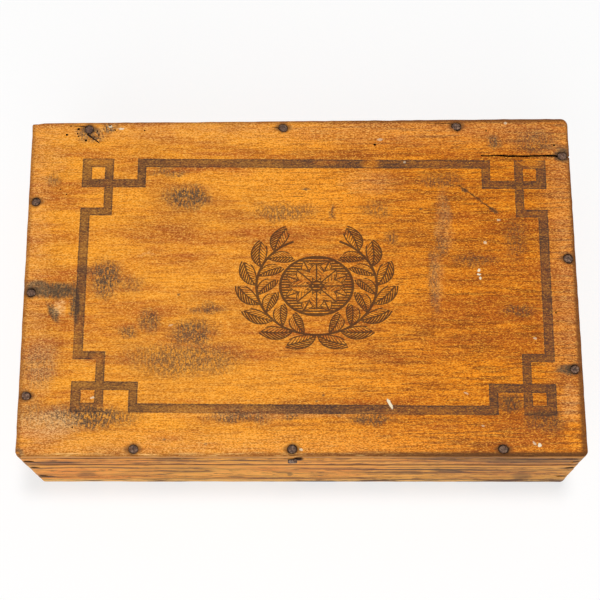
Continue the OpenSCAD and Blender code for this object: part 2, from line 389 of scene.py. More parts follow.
bottom = plank("bottom_plank", "bottom_board")
carve(bottom, dents(nail_places("bottom_nails", 2, up_or_down)))
dusty, scuffed, grimy = tone(128, 98, 70), tone(112, 86, 62), tone(84, 62, 44)
honey, streaked = tone(255, 196, 108), tone(100, 62, 32)
grime_wide = 14
finish, (x, y, z), facing = new_finish("bare_bottom")
colour, late, fibre = bare(x + 400, y, z, (-230, 60, 2.9))
dust = mottle(x * 0.03, y * 0.03, z * 0.03, 4.0, 0.65)
scuff = mottle(x * 0.12, y * 0.5, z * 0.4, 3.0, 0.7)
colour = (dust.ease(0.4, 0.72) * 0.6).between(colour, dusty)
edge = 1 - abs(facing[2]).ease(0.3, 0.8)
brushed = mottle(x * 0.04, y * 0.04, z * 0.3, 4.0, 0.7) + x.ease(-60, 150) * 0.08
streaks = brushed.ease(0.47, 0.6) * (0.4 + facing[1].ease(-0.3, -0.8) * 0.6)
varnish = streaks.between(honey, streaked)
colour = edge.between(colour, varnish)
under = facing[2].ease(-0.3, -0.8)
colour = (under * (0.25 + scuff.ease(0.45, 0.7) * 0.5)).between(colour, scuffed)
rim = (abs(x) - (half_width - grime_wide)) | (abs(y) - (half_depth - grime_wide))
grime = rim.ease(0, grime_wide) * under
colour = (grime * 0.5).between(colour, grimy)
roughness = 0.76 - edge * 0.16
height = fibre * 0.8 - late * 0.4 + scuff * 0.5
complete(finish, colour, roughness, height, depth=0.14 * MM, gloss=0.15)
bottom.data.materials.append(finish)
hold(bottom)
bpy.ops.object.shade_smooth_by_angle(angle=SMOOTH)
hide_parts("bottom_board")
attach(bottom, "base")


# Base sides: front and back boards run the full width, and the two end boards stand
# between them, glued and nailed. The box was varnished shut and then sawn open, so the
# grain runs on from base to lid.
def outward(middle):
    """The way a head faces: out of the back or out of the front."""
    return Vector((0, 1 if middle.y > 0 else -1, 0))


def blot(plan, left, up, wide, deep, turn=0.0):
    """How far a point of the plan lies from the middle of an oval mark: 1 on its rim."""
    aim = math.radians(turn)
    ways = (math.cos(aim) / wide, math.sin(aim) / wide), (-math.sin(aim) / deep, math.cos(aim) / deep)
    reach = []
    for by_x, by_y in ways:
        sockets = {0: plan, 1: (by_x, by_y, -by_x * left - by_y * up)}
        reach.append(plan.add("ShaderNodeVectorMath", {"operation": "DOT_PRODUCT"}, sockets, 1))
    return (reach[0] ** 2 + reach[1] ** 2) ** 0.5


def ragged(across, up, size, reach, stretch=1.0):
    """A flat plan of the surface at height 1, pulled about by clouds, so that marks on it are ragged."""
    push = mottle(across / (size * stretch), up / size, across * 0.0, 3.0, 0.6)
    pull = mottle(across / (size * stretch) + 50, up / size, across * 0.0, 3.0, 0.6)
    sockets = {"X": across + (push - 0.5) * reach, "Y": up + (pull - 0.5) * reach, "Z": 1.0}
    return push.add("ShaderNodeCombineXYZ", {}, sockets)


def marked(plan, marks, outer=1.2, inner=0.3):
    """How strongly a point is stained: the strongest of a list of oval marks on a plan."""
    strongest = None
    for left, up, wide, deep, turn, amount in marks:
        mark = blot(plan, left, up, wide, deep, turn).ease(outer, inner) * amount
        strongest = mark if strongest is None else strongest | mark
    return strongest


# Dark grain, damp and dirt on the front, with painted shade in the slit and the pit by the stud: x and
# height of the middle, half length, half height, turn in degrees, and strength.
FRONT_MARKS = (
    (-134, 63, 19, 3.2, 0, 0.85), (-114, 75, 21, 1.6, 0, 0.7), (-70, 73, 9, 3, 0, 0.45),
    # The first two marks on this line are painted shade: the slit under the panel's front edge and the pit
    # beside the stud.
    (-15, 77.5, 16, 2.2, -2, 0.85), (-1, 74, 2.6, 4.5, 0, 1.4), (122, 75, 36, 6, 0, 0.6),
    (95, 79, 50, 1.8, 0, 0.8), (22, 74, 5, 2.6, 0, 0.5), (72, 74, 25, 3.4, -9, 0.65),
    (118, 67, 30, 6, -4, 0.6), (138, 66, 14, 1.6, 2, 0.85), (100, 79, 45, 3, 0, 0.5),
    (-75, 45.5, 32, 3, -1, 0.5), (60, 42, 64, 1.7, -3.6, 0.75), (83, 36, 10, 5, -12, 0.65),
    (124, 20, 5.5, 14, 8, 0.5), (-121, 25, 5, 15, -8, 0.4), (-45, 12, 72, 2, 0.5, 0.55),
    (72, 8.5, 60, 2, -3, 0.65), (-58, 35, 11, 3.5, 6, 0.4), (-37, 17, 5, 3, 0, 0.5),
    (-6.5, 27, 1.6, 7, 0, 0.6), (146, 46, 5, 3, 0, 0.6), (-146, 45, 5, 2, 0, 0.7),
    (-145, 17, 6, 2.4, 0, 0.6),
)
# In millimetres: the heights of the bottom board's top, the saw cut and the lid panel's underside.
board_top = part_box("bottom_board")[1][2] / MM
saw_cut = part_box("base_front")[1][2] / MM
panel_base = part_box("lid_panel")[0][2] / MM


def side_finish(name, lengthwise, heart, seed):
    """Varnished side boards, bare inside: browner to the right, grimy at joints and worn at corners."""
    light, mid, dark = tone(255, 178, 72), tone(255, 154, 56), tone(120, 66, 28)
    streaked, gleam = tone(98, 55, 25), tone(255, 186, 84)
    pore, glint = tone(100, 60, 26), tone(255, 190, 92)
    browned, front_dirt_and_shade = tone(116, 72, 36), tone(76, 52, 34)
    sawn_light, sawn_dark, joint_dark = tone(255, 176, 76), tone(92, 48, 18), tone(66, 44, 28)
    rubbed, end_grain, dusty = tone(232, 178, 112), tone(146, 92, 48), tone(122, 88, 58)
    pale_band = saw_cut - 5
    finish, (x, y, z), facing = new_finish(name)
    along, up, end = (x, y, facing[0]) if lengthwise else (y, x, facing[1])
    colour, late, fibre = timber(along + seed, z, up, heart, light, mid, dark, 0.35)
    raw, _, _ = bare(along + seed, z, up, heart)
    streak = mottle(along * 0.012 + seed, z * 0.19, up * 0.1, 4.0, 0.65)
    strength = 0.5 + y.ease(0, -1) * 0.36 if lengthwise else 0.5
    colour = (streak.ease(0.505, 0.585) * strength).between(colour, streaked)
    colour = (streak.ease(0.47, 0.37) * strength * 0.7).between(colour, gleam)
    rough = mottle(x * 0.22, y * 0.22, z * 0.5, 4.0, 0.65)
    fleck = mottle(along * 0.11 + seed, z * 0.3, up * 0.3, 4.0, 0.72)
    colour = (fleck.ease(0.52, 0.68) * strength).between(colour, pore)
    colour = (fleck.ease(0.46, 0.3) * 0.75).between(colour, glint)
    smear = mottle(x * 0.035, y * 0.035, z * 0.06, 3.0, 0.6)
    from_edge = (half_width - abs(x)) | (half_depth - abs(y))
    age = x.ease(-20, 150) * 0.35 + smear.ease(0.45, 0.7) * 0.35
    colour = (age * (0.4 + fleck * 0.8)).between(colour, browned)
    if lengthwise:
        # Dark grain, damp and dirt on the front boards, with painted shade in the slit and the pit beside
        # the stud.
        dark_marks = marked(ragged(x, z, size=6, reach=4, stretch=5.0), FRONT_MARKS, 1.3, 0.5) * y.ease(0, -1)
        colour = (dark_marks * (0.5 + fleck)).between(colour, front_dirt_and_shade)
    seam = abs(z - saw_cut).ease(2.4, 0.8)
    joint = abs(z - panel_base).ease(2.0, 0.4) | abs(z - board_top).ease(1.8, 0.3)
    colour = (abs(z - pale_band).ease(3.6, 1.2) * 0.7).between(colour, sawn_light)
    colour = (seam * (0.6 + rough * 0.5)).between(colour, sawn_dark)
    joint = joint * (0.35 + x.ease(-20, 90) * 0.55)
    colour = (joint * rough.ease(0.38, 0.58)).between(colour, joint_dark)
    worn = from_edge.ease(4.5, 0.5) * rough.ease(0.42, 0.62)
    colour = (worn * 0.5).between(colour, rubbed)
    colour = (abs(end).ease(0.6, 0.9) * 0.6).between(colour, end_grain)
    inward = (x * facing[0] + y * facing[1]).ease(-5, -15)
    rim = abs(z - saw_cut).ease(0.9, 0.35) * abs(facing[2]).ease(0.5, 0.9)
    inside = inward | rim
    raw = (smear.ease(0.4, 0.75) * 0.5).between(raw, dusty)
    colour = inside.between(colour, raw)
    roughness = 0.56 + inside * 0.22 + rough * 0.12
    height = fibre * 0.6 - late * 0.3 + rough * 0.5
    complete(finish, colour, roughness, height, depth=0.12 * MM, gloss=0.1)
    return finish


def crack(start, end, wide, deep, way, close=0.06):
    """A cutter for a split that narrows from start to end and wanders along one axis."""
    start, end, deep = Vector(start), Vector(end), Vector(deep)
    bpy.ops.object.select_all(action="DESELECT")
    bpy.ops.mesh.primitive_cube_add(size=1)
    cutter = bpy.context.object
    bpy.ops.object.mode_set(mode="EDIT")
    pick(cutter, "FACE", lambda face: face.normal.x > 0.9)
    bpy.ops.transform.resize(value=(1, close, 1))
    score((-0.5, -0.5, -0.5), (0.5, 0.5, 0.5), 0, 0.1)
    bpy.ops.object.mode_set(mode="OBJECT")
    run = (end - start).normalized()
    side = deep.normalized().cross(run)
    frame_of_cut = Matrix((run * (end - start).length, side * wide, deep)).transposed().to_4x4()
    cutter.matrix_world = Matrix.Translation((start + end) / 2) @ frame_of_cut
    hold(cutter)
    bpy.ops.object.transform_apply(location=True, rotation=True, scale=True)
    wear(cutter, 7 * MM, wide, "", way)
    return cutter


def mortise(node, top):
    """A cutter for the shallow rebate that a hinge leaf lies in."""
    let_in, clear, gap = 1.6 * MM, 3 * MM, Vector((0.2, 0.2, 0)) * MM
    low, high = (Vector(end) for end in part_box(node))
    axis_height = frame["joints"][0]["pos_m"][2]
    low.z = axis_height - (let_in if top else clear)
    high.z = axis_height + (clear if top else let_in)
    bpy.ops.object.select_all(action="DESELECT")
    bpy.ops.mesh.primitive_cube_add(size=1, location=(low + high) / 2)
    cutter = bpy.context.object
    cutter.scale = high - low + gap
    bpy.ops.object.transform_apply(location=True, rotation=True, scale=True)
    return cutter


def finish_board(piece, finish, node, body):
    """Gives a side board its finish, hides its frame node and ties the board to its body."""
    piece.data.materials.append(finish)
    hold(piece)
    bpy.ops.object.shade_smooth_by_angle(angle=SMOOTH)
    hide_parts(node)
    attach(piece, body)


# The split at each corner nail: how far it runs from the nail out past the board's end, how far in and
# how far down, and its width and depth.
SPLIT_OUT, SPLIT_IN, SPLIT_FALL, SPLIT_WIDE, SPLIT_DEEP = 6, 5, 0.6, 0.8, 2.5
long_finish = side_finish("varnished_long_side", True, (-46, 66, 3.1), 0)
short_finish = side_finish("varnished_end", False, (-70, 90, 3.4), 230)
corner_nails = nail_places("base_corner_nails", 1, outward)
for node in ("base_front", "base_back", "base_left_end", "base_right_end"):
    board = plank(node + "_board", node)
    if "end" in node:
        finish_board(board, short_finish, node, "base")
        continue
    near = [(point, way) for point, way in corner_nails if way.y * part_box(node)[0][1] > 0]
    carve(board, dents(near))
    for point, way in near:
        mouth = point + Vector((math.copysign(SPLIT_OUT, point.x), 0, 0)) * MM
        tip = point - Vector((math.copysign(SPLIT_IN, point.x), 0, SPLIT_FALL)) * MM
        carve(board, crack(mouth, tip, SPLIT_WIDE * MM, way * 2 * SPLIT_DEEP * MM, "Z"))
    if node == "base_back":
        for leaf in ("left_hinge_base_leaf", "right_hinge_base_leaf"):
            carve(board, mortise(leaf, True))
    finish_board(board, long_finish, node, "base")


# Base nails: wire nails, four through the front board, four through the back and ten up
# through the bottom. Their heads are hammered just under the wood and rusted brown.
def wire_nail(length):
    """A hammered nail that stands point down, with its head just under the origin."""
    head_r, head_t, shank_r = 2.3 * MM, 1.2 * MM, 0.9 * MM
    point_long, point_share, sunk = 2 * MM, 0.12, -0.3 * MM
    nail = disc(20, head_r, head_t, (0, 0, -head_t / 2))
    pick(nail, "FACE", lambda face: face.normal.z < -0.9)
    bpy.ops.mesh.inset(thickness=head_r - shank_r)
    bpy.ops.mesh.extrude_region_move(TRANSFORM_OT_translate={"value": (0, 0, head_t + point_long - length)})
    bpy.ops.mesh.extrude_region_move(TRANSFORM_OT_translate={"value": (0, 0, -point_long)})
    bpy.ops.transform.resize(value=(point_share, point_share, 1))
    pick(nail, "FACE", lambda face: face.normal.z > 0.9)
    bpy.ops.mesh.bevel(offset=0.35 * MM, segments=2, affect="EDGES")
    pick(nail, "FACE", lambda face: face.normal.z > 0.98)
    for inward, rise in ((0.7 * MM, 0.12 * MM), (0.6 * MM, 0.05 * MM)):
        bpy.ops.mesh.inset(thickness=inward)
        bpy.ops.transform.translate(value=(0, 0, rise))
    bpy.ops.mesh.select_all(action="SELECT")
    bpy.ops.transform.translate(value=(0, 0, sunk))
    bpy.ops.object.mode_set(mode="OBJECT")
    wear(nail, 1.6 * MM, 0.3 * MM)
    return nail


def rust(name, deep, mid, pale, scale):
    """Old iron: brown rust with darker pits and a few scraped, paler places."""
    bloom_tone = tone(104, 66, 42)
    finish, (x, y, z), _ = new_finish(name)
    pit = mottle(x * scale, y * scale, z * scale, 4.0, 0.7)
    bloom = mottle(x * scale * 0.3 + 40, y * scale * 0.3, z * scale * 0.3, 2.0, 0.6)
    colour = (bloom.ease(0.4, 0.7) * 0.7).between(mid, bloom_tone)
    colour = (pit.ease(0.5, 0.62) * 0.85).between(colour, deep)
    colour = (pit.ease(0.48, 0.36) * 0.85).between(colour, pale)
    complete(finish, colour, 0.5 + pit * 0.4, pit, depth=0.25 * MM, gloss=0.5, metal=0.35)
    return finish


def finish_iron(piece, finish, slot, body, *nodes):
    """Gives an iron piece its finish, hides its frame nodes and ties the piece to its body."""
    piece.data.materials.clear()
    piece.data.materials.append(finish)
    hold(piece)
    bpy.ops.object.shade_smooth_by_angle(angle=math.radians(35))
    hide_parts(*nodes)
    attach(piece, body)


pitted, rusted, scraped = tone(34, 26, 22), tone(88, 64, 49), tone(134, 108, 88)
nail_rust = rust("rusted_nail", pitted, rusted, scraped, 0.9)
CORNER_NAIL, BOTTOM_NAIL = 18 * MM, 20 * MM
nails = set_out(wire_nail(CORNER_NAIL), "corner_nails_of_base", corner_nails)
finish_iron(nails, nail_rust, "nail_iron", "base", "base_corner_nails")
nails = set_out(wire_nail(BOTTOM_NAIL), "nails_of_bottom", nail_places("bottom_nails", 2, up_or_down))
finish_iron(nails, nail_rust, "nail_iron", "base", "bottom_nails")


# Hinges: two small butt hinges of bent sheet iron, each with a leaf let into either rim,
# a wire pin through the knuckles and two slotted screws a leaf, all dark with old rust.
# Here are the leaves and screws of the base, and the pins; those of the lid come with its frame.
def wrought(name, node, eased):
    """A copy of a frame solid with its triangles joined up and its sharp edges eased."""
    piece = bpy.data.objects.new(name, frame["nodes"][node].data.copy())
    bpy.context.collection.objects.link(piece)
    hold(piece)
    bpy.ops.object.mode_set(mode="EDIT")
    bpy.ops.mesh.select_mode(type="EDGE")
    bpy.ops.mesh.select_all(action="SELECT")
    bpy.ops.mesh.remove_doubles(threshold=0.004 * MM)
    bpy.ops.mesh.dissolve_limited(angle_limit=math.radians(1))
    bpy.ops.mesh.select_all(action="DESELECT")
    bpy.ops.mesh.edges_select_sharp(sharpness=SHARP)
    bpy.ops.mesh.bevel(offset=eased, segments=2, affect="EDGES")
    bpy.ops.object.mode_set(mode="OBJECT")
    return piece


LEAF_EASED, PIN_EASED, SCREW_EASED = 0.15 * MM, 0.12 * MM, 0.06 * MM
pitted, rusted, scraped = tone(50, 38, 31), tone(98, 78, 64), tone(150, 132, 116)
hinge_rust = rust("rusted_hinge", pitted, rusted, scraped, 0.8)
for side in ("left", "right"):
    leaf = wrought(side + "_base_leaf", side + "_hinge_base_leaf", LEAF_EASED)
    finish_iron(leaf, hinge_rust, "hinge_iron", "base", side + "_hinge_base_leaf")
    pin = wrought(side + "_pin", side + "_hinge_pin", PIN_EASED)
    finish_iron(pin, hinge_rust, "hinge_iron", "base", side + "_hinge_pin")
screws = wrought("screws_of_base_leaves", "base_hinge_screws", SCREW_EASED)
finish_iron(screws, nail_rust, "nail_iron", "base", "base_hinge_screws")


# Lid frame: the strip that the saw left of the four sides, with the same varnish. The
# front rail has a stud and two nails in its face, the back rail two nails and two hinge rebates.
def flakes(spots):
    """Cutters for chips broken out of an edge: lumps of uneven outline."""
    lumps = []
    for left, up, height, wide, deep, high in spots:
        bpy.ops.object.select_all(action="DESELECT")
        bpy.ops.mesh.primitive_ico_sphere_add(subdivisions=3, radius=1)
        lump = bpy.context.object
        lump.scale = Vector((wide, deep, high)) * MM
        lump.location = Vector((left, up, height)) * MM
        bpy.ops.object.transform_apply(location=True, rotation=True, scale=True)
        wear(lump, 2 * MM, min(wide, deep, high) * 0.5 * MM)
        lumps.append(lump)
    return joined(lumps)


# Hollows where the wood has broken out beside the stud: middle, and half the size each way.
STUD_PITS = ((-1.0, -95.6, 75.5, 2.4, 2.4, 3.6), (-9.5, -95.4, 76.6, 5.0, 1.2, 1.2))
lid_corner_nails = nail_places("lid_corner_nails", 1, outward)
for node in ("lid_front_rail", "lid_back_rail", "lid_left_end", "lid_right_end"):
    board = plank(node + "_board", node)
    if "end" in node:
        finish_board(board, short_finish, node, "lid")
        continue
    near = [(point, way) for point, way in lid_corner_nails if way.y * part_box(node)[0][1] > 0]
    carve(board, dents(near))
    if node == "lid_front_rail":
        carve(board, flakes(STUD_PITS))
    if node == "lid_back_rail":
        for leaf in ("left_hinge_lid_leaf", "right_hinge_lid_leaf"):
            carve(board, mortise(leaf, False))
    finish_board(board, long_finish, node, "lid")
nails = set_out(wire_nail(CORNER_NAIL), "corner_nails_of_lid", lid_corner_nails)
finish_iron(nails, nail_rust, "nail_iron", "lid", "lid_corner_nails")
for side in ("left", "right"):
    leaf = wrought(side + "_lid_leaf", side + "_hinge_lid_leaf", LEAF_EASED)
    finish_iron(leaf, hinge_rust, "hinge_iron", "lid", side + "_hinge_lid_leaf")
screws = wrought("screws_of_lid_leaves", "lid_hinge_screws", SCREW_EASED)
finish_iron(screws, nail_rust, "nail_iron", "lid", "lid_hinge_screws")


# Front stud: a short, thick, round iron pin driven into the middle of the front rail. Its
# blunt end stands out of the wood, as a hold for the lid.
def blunt_stud(length):
    """A stud whose blunt end lies just above the origin, with a thinner shank below it."""
    end_r, end_long, end_middle = 2.25 * MM, 1.9 * MM, -0.25 * MM
    shoulder, sunk = 1.35 * MM, 1.2 * MM
    stud = disc(24, end_r, end_long, (0, 0, end_middle))
    pick(stud, "FACE", lambda face: face.normal.z > 0.98)
    bpy.ops.mesh.bevel(offset=0.3 * MM, segments=2, affect="EDGES")
    pick(stud, "FACE", lambda face: face.normal.z < -0.98)
    bpy.ops.mesh.inset(thickness=shoulder)
    bpy.ops.mesh.extrude_region_move(TRANSFORM_OT_translate={"value": (0, 0, sunk - length)})
    bpy.ops.object.mode_set(mode="OBJECT")
    wear(stud, 1.4 * MM, 0.2 * MM)
    return stud


stud_places = nail_places("lid_front_stud", 1, outward)
stud_low, stud_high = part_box("lid_front_stud")
stud = set_out(blunt_stud(stud_high[1] - stud_low[1]), "front_stud", stud_places)
finish_iron(stud, hinge_rust, "nail_iron", "lid", "lid_front_stud")


# Lid panel: one wide thin board nailed over the frame, varnished honey brown and printed
# with a fret border and a central device in thin brown ink. Its edges are rubbed round,
# the right end has split at a nail, and damp, rust and paint have marked the face.
PANEL_EASED, PANEL_STEP = 0.7 * MM, 4 * MM
panel = plank("printed_panel", "lid_panel", PANEL_EASED, PANEL_STEP)
panel_nails = nail_places("lid_panel_nails", 2, up_or_down)
panel_top = box_height * MM

# Splits, scratches and a beetle's gallery in the face: start x and y, end x and y, width at the
# start, share of it at the end, and depth.
CRACKS = (
    (151.5, 73.1, 100.5, 74.0, 1.5, 0.55, 9), (87.5, 56.7, 108.5, 40.0, 0.7, 0.6, 0.5),
    (-119.5, 88.3, -112.2, 82.2, 1.3, 0.4, 1.2), (86, 93.1, 71, 93.2, 0.5, 0.3, 0.9),
    (-120, 92.4, -130, 92.8, 0.7, 0.3, 1.0), (-12, 91, -16, 91.3, 0.6, 0.3, 0.9),
    (-4, 50.3, 1.8, 50.1, 0.5, 0.5, 0.6),
)
# Wormholes and old pinholes: x, y and radius.
HOLES = (
    (-130.8, 87.5, 0.7), (-124.4, 90.8, 0.8), (-124.8, 88.2, 0.5), (-124.2, 86.4, 0.45),
    (-120, 84, 0.75), (-113.6, 89.6, 0.45), (-115.2, 86.2, 0.4), (-112.9, 87.2, 0.5),
    (-128.7, 92.7, 0.5), (-106.8, 92.8, 0.5), (-103.8, 90.2, 0.5), (-87.3, 89.8, 0.45),
    (41.7, 80.6, 0.75), (-121, -79.3, 0.5), (138.2, -17, 0.5), (141.5, 79.8, 0.6), (104, 88.6, 0.5),
    (-133, 55, 0.4), (-129.6, 52, 0.4),
)
# Chips: x, y and height of the middle, and half the size each way.
CHIPS = (
    (-149.6, -94.6, 81.2, 2.2, 2.4, 2.6), (-0.9, -95.4, 77.6, 2.6, 1.8, 2.6),
    (120, -95.2, 82, 5, 0.8, 0.7), (-60, -95.2, 82.1, 7, 0.7, 0.6), (48, -95.3, 82.1, 4, 0.8, 0.7),
    (149.9, 20, 82.1, 0.8, 5, 0.8), (-153, 96.3, 80, 13, 2.9, 6),
)


def bores(spots):
    """Cutters for round holes with a rounded end, each of its own radius."""
    drilled = 4 * MM
    drills = []
    for left, up, radius in spots:
        drill = disc(10, radius * MM, drilled, (left * MM, up * MM, panel_top))
        pick(drill, "FACE", lambda face: face.normal.z < -0.9)
        bpy.ops.mesh.inset(thickness=radius * 0.4 * MM)
        bpy.ops.transform.translate(value=(0, 0, -radius * 0.5 * MM))
        bpy.ops.object.mode_set(mode="OBJECT")
        drills.append(drill)
    return joined(drills)


for start_x, start_y, end_x, end_y, wide, close, deep in CRACKS:
    from_end, to_end = Vector((start_x, start_y, box_height)) * MM, Vector((end_x, end_y, box_height)) * MM
    carve(panel, crack(from_end, to_end, wide * MM, (0, 0, 2 * deep * MM), "Y", close))
carve(panel, dents(panel_nails))
carve(panel, bores(HOLES))
carve(panel, flakes(CHIPS))

# The border is a little out of true on the board: its middle, half its width and height, and how
# far its lines lean for each millimetre across the board.
FRET_MIDDLE = (7.2, -0.2)
FRET_REACH = (129.2, 72.2)
FRET_LEAN = (0.0045, -0.000054, 0.0095)
# The bars of one corner, in from the border's outer edges: from and to across, and from and to up.
FRET_BARS = (
    (30.9, 400, 0, 5.1), (0, 5.4, 29, 400), (30.9, 35.8, 0, 17), (0, 17.6, 0, 5.2), (0, 5.5, 0, 17),
    (12.7, 17.6, 0, 33.6), (0, 35.8, 12.2, 17), (0, 17.6, 29, 33.6),
)
# Damp and dirt: x and y of the middle, half width, half depth, turn in degrees, and strength.
STAINS = (
    (-62, 50, 14, 8, 0, 1.0), (-74, 64.5, 13, 2.6, 0, 0.7), (-9, 41, 20, 6, 0, 0.65),
    (18, 42, 2, 5, 0, 0.7), (42, 42, 10, 5, 0, 0.5), (-106, 3, 10, 12, 0, 1.0), (-92, 0, 9, 6, 0, 0.5),
    (-58, -28, 14, 9, 0, 0.85), (-81, -21, 6, 7, 0, 0.75), (-93, -27, 6, 4, 0, 0.8),
    (-62, -42, 34, 11, 0, 0.7), (-50, -14, 11, 3.5, 0, 0.7), (-115, -74, 30, 7.5, 0, 1.0),
    (-140, -46, 12, 14, 0, 0.5), (-142, -72, 9, 9, 0, 0.5), (112, -67, 7, 6, 0, 0.7),
    (80, 41, 4.5, 13, 0, 0.45), (73, 1, 4.5, 21, 0, 0.6), (77, 21, 4.5, 10, 0, 0.55),
    (78, 59, 13, 5, 0, 0.6), (108, 82, 4, 5, 0, 0.85), (131, 82, 14, 8, 0, 0.55),
    (50, 26, 4, 5, 0, 0.7), (118, -16, 10, 4, 0, 0.65), (97, 13, 14, 4, 0, 0.6),
    (118, 25, 7, 13, 0, 0.5), (-33, -74, 20, 4, 0, 0.8), (-4, -74, 5, 3, 0, 0.7),
    (38, -75.5, 14, 3, 0, 0.8), (100, -79, 42, 6, 0, 0.1), (130, -76, 12, 7, 0, 0.65),
    (-137, 60, 6, 4, 0, 0.6), (-107, 91, 6, 3, 0, 0.9), (-118, 88, 9, 5, 0, 0.9),
    (146, 74, 6, 4.5, 0, 1.0), (148, -49, 7, 3, 0, 1.0), (-137, -3.5, 15, 5.5, -4, 1.1),
    (-122.5, -10, 2.8, 13, 2, 0.9), (-134, -15, 2.2, 7, 32, 0.9),
)
# Rust and grease rubbed in about some nails and a split, laid out as the damp is.
SMEARS = (
    (-142, -2.5, 9, 4.5, -10, 1.0), (-130, -3.5, 9, 4.5, 0, 0.95), (-121.5, -12, 1.8, 11, 0, 0.9),
    (-134, -17, 1.8, 6, 32, 0.9), (-118, 8, 4, 3, 0, 0.6), (143.5, -48.5, 7, 2.6, 0, 0.95),
    (111, -66, 9, 6, 0, 0.4), (128, -73, 10, 3, 0, 0.4), (134, -79, 6, 4, 0, 0.3),
    (147, 74, 5.5, 4.5, 0, 0.9), (149, 13, 4, 3, 0, 0.8), (91, 53.5, 2.2, 1.4, -30, 0.9),
    (98.5, 48, 13, 0.7, -38.5, 0.55), (106.5, 41.5, 3.4, 1.2, -38.5, 0.8),
    (3.5, 54.5, 2.6, 0.6, 0, 0.8), (-66, -6, 1.1, 0.9, 0, 0.7), (12.5, -62.3, 0.9, 0.8, 0, 0.7),
    (9, -65.8, 0.9, 0.8, 0, 0.7), (20.5, -73.5, 1, 0.8, 0, 0.7), (66.5, 42.3, 1, 0.8, 0, 0.7),
    (102, -64.8, 1.6, 1.4, 0, 0.7), (-72, -86, 1.2, 0.6, 0, 0.8), (-50, -88.5, 1, 0.8, 0, 0.6),
    (-149, -93, 3, 2.5, 0, 0.9),
)
# Where the wood is a paler orange, and where it is browner. These and the next lists are laid out the same.
PALE_ZONES = (
    (-20, -54, 95, 13, 0, 1.3), (-25, -85, 95, 10, 0, 1.0), (-100, 32, 22, 24, 0, 0.7),
    (-60, 62, 40, 4, 0, 0.6), (5, 52, 44, 16, 0, 1.7), (55, -10, 16, 34, 0, 0.5),
    (90, -52, 22, 11, 0, 0.8), (145, -84, 7, 8, 0, 0.9), (-60, 10, 40, 20, 0, 0.4),
    (-135, 80, 14, 10, 0, 0.5), (-130, 25, 16, 14, 0, 0.6), (0, 85, 100, 9, 0, 0.7),
    (62, -85, 45, 9, 0, 1.1),
)
BROWN_ZONES = (
    (100, -20, 42, 22, 0, 0.75), (76, -78, 15, 4, 0, 1.0), (126, -78, 20, 9, 0, 1.2),
    (35, 84, 60, 8, 0, 0.3), (128, 82, 24, 9, 0, 0.7), (40, 60, 22, 8, 0, 0.3),
    (-138, -42, 14, 20, 0, 0.6), (105, 30, 30, 18, 0, 0.5), (144, -20, 8, 40, 0, 0.3),
)
# Where the varnish has gone pale and dusty.
DUSTY = (
    (-131, -13.5, 5, 5, 0, 0.9), (144, -66, 7, 12, 0, 0.4), (-140, -45, 13, 22, 0, 0.45),
    (-134, -78, 20, 11, 0, 0.8), (38, 58, 20, 9, 0, 0.25), (-137, 72, 12, 12, 0, 0.3),
    (145, 20, 7, 40, 0, 0.3), (-84, 17, 6, 1.5, 0, 0.5), (79, 34, 5, 22, 0, 0.22),
    (74, 2, 5, 20, 0, 0.22), (-20, -72, 75, 4, 0, 0.3),
)
# Where the print has rubbed thin.
WORN_PRINT = (
    (39, 69.3, 6, 4, 0, 0.8), (128, 69, 9, 3.5, 0, 0.6), (-112, 71, 9, 2.5, 0, 0.35),
    (-113, -68.5, 12, 2.4, 0, 0.55), (126, -71, 11, 2.6, 0, 0.45), (-108.5, -42, 4, 5, 0, 0.4),
    (14, 70, 9, 2, 0, 0.4), (-40, -72, 50, 4, 0, 0.3), (60, -73, 40, 4, 0, 0.2),
    (-122, -30, 5, 16, 0, 0.25),
)
# Drops of white paint.
SPECKS = (
    (-106.5, 92.3, 1.2, 0.7, 0, 0.8), (-100.5, 91, 1.8, 0.7, 0, 0.8), (115, 93, 1.0, 0.7, 0, 0.5),
    (44.5, 83.6, 1.6, 0.8, 0, 0.4), (58, 70, 0.8, 0.7, 0, 0.4), (109, 36, 1.1, 0.7, 0, 0.5),
    (101.2, 23, 1.1, 0.9, -40, 0.55), (97.5, 7, 0.8, 0.9, 0, 1.0), (97.4, 4.7, 1.1, 0.6, 0, 1.0),
    (98, 2.6, 0.6, 0.9, 0, 0.9), (47.8, -67, 0.9, 3.4, 24, 1.0), (123.6, -88.4, 0.6, 1.5, 30, 0.55),
    (126.5, -89.4, 1.1, 1.1, 0, 1.0), (-111, -63.3, 1.3, 0.8, 0, 0.6), (0.4, -91.5, 0.9, 0.8, 0, 0.7),
    (126.5, -31.2, 0.9, 0.7, 0, 0.45), (88.5, -61.5, 1.3, 0.6, -20, 0.4), (97, -79, 0.9, 0.6, 0, 0.35),
    (-70, -23.5, 1.4, 0.6, 20, 0.3),
)


def fret(x, y):
    """How far inside the border's bars a point lies, the same in all four corners."""
    across = x - y * (x * FRET_LEAN[1] + FRET_LEAN[0])
    up = y + (x - FRET_MIDDLE[0]) * FRET_LEAN[2]
    in_across = FRET_REACH[0] - abs(across - FRET_MIDDLE[0])
    in_up = FRET_REACH[1] - abs(up - FRET_MIDDLE[1])
    inside = None
    for near, far, low, high in FRET_BARS:
        bar = (in_across - near) & (far - in_across) & (in_up - low) & (high - in_up)
        inside = bar if inside is None else inside | bar
    return inside


def leaf_lines(along, aside, length, half, hatch, depth):
    """One leaf in engraver's lines: outline, midrib and hatching."""
    part = along / length
    rim = part * (1 - part) * (4 * half) - abs(aside)
    inside = rim.ease(-0.05, 0.1)
    outline = 1 - abs(rim - 0.3).ease(0.28, 0.5)
    rib = abs(aside).ease(0.5, 0.25) * inside
    line = (along * 0.75 + abs(aside) * 0.9) / hatch
    stroke = abs(line.maths("FRACT", line) - 0.5)
    shade = (aside / half).ease(-1.0, 0.9) * depth + 0.1 * (depth > 0.2)
    return (outline | rib | (shade - stroke).ease(-0.04, 0.05) * inside) * inside


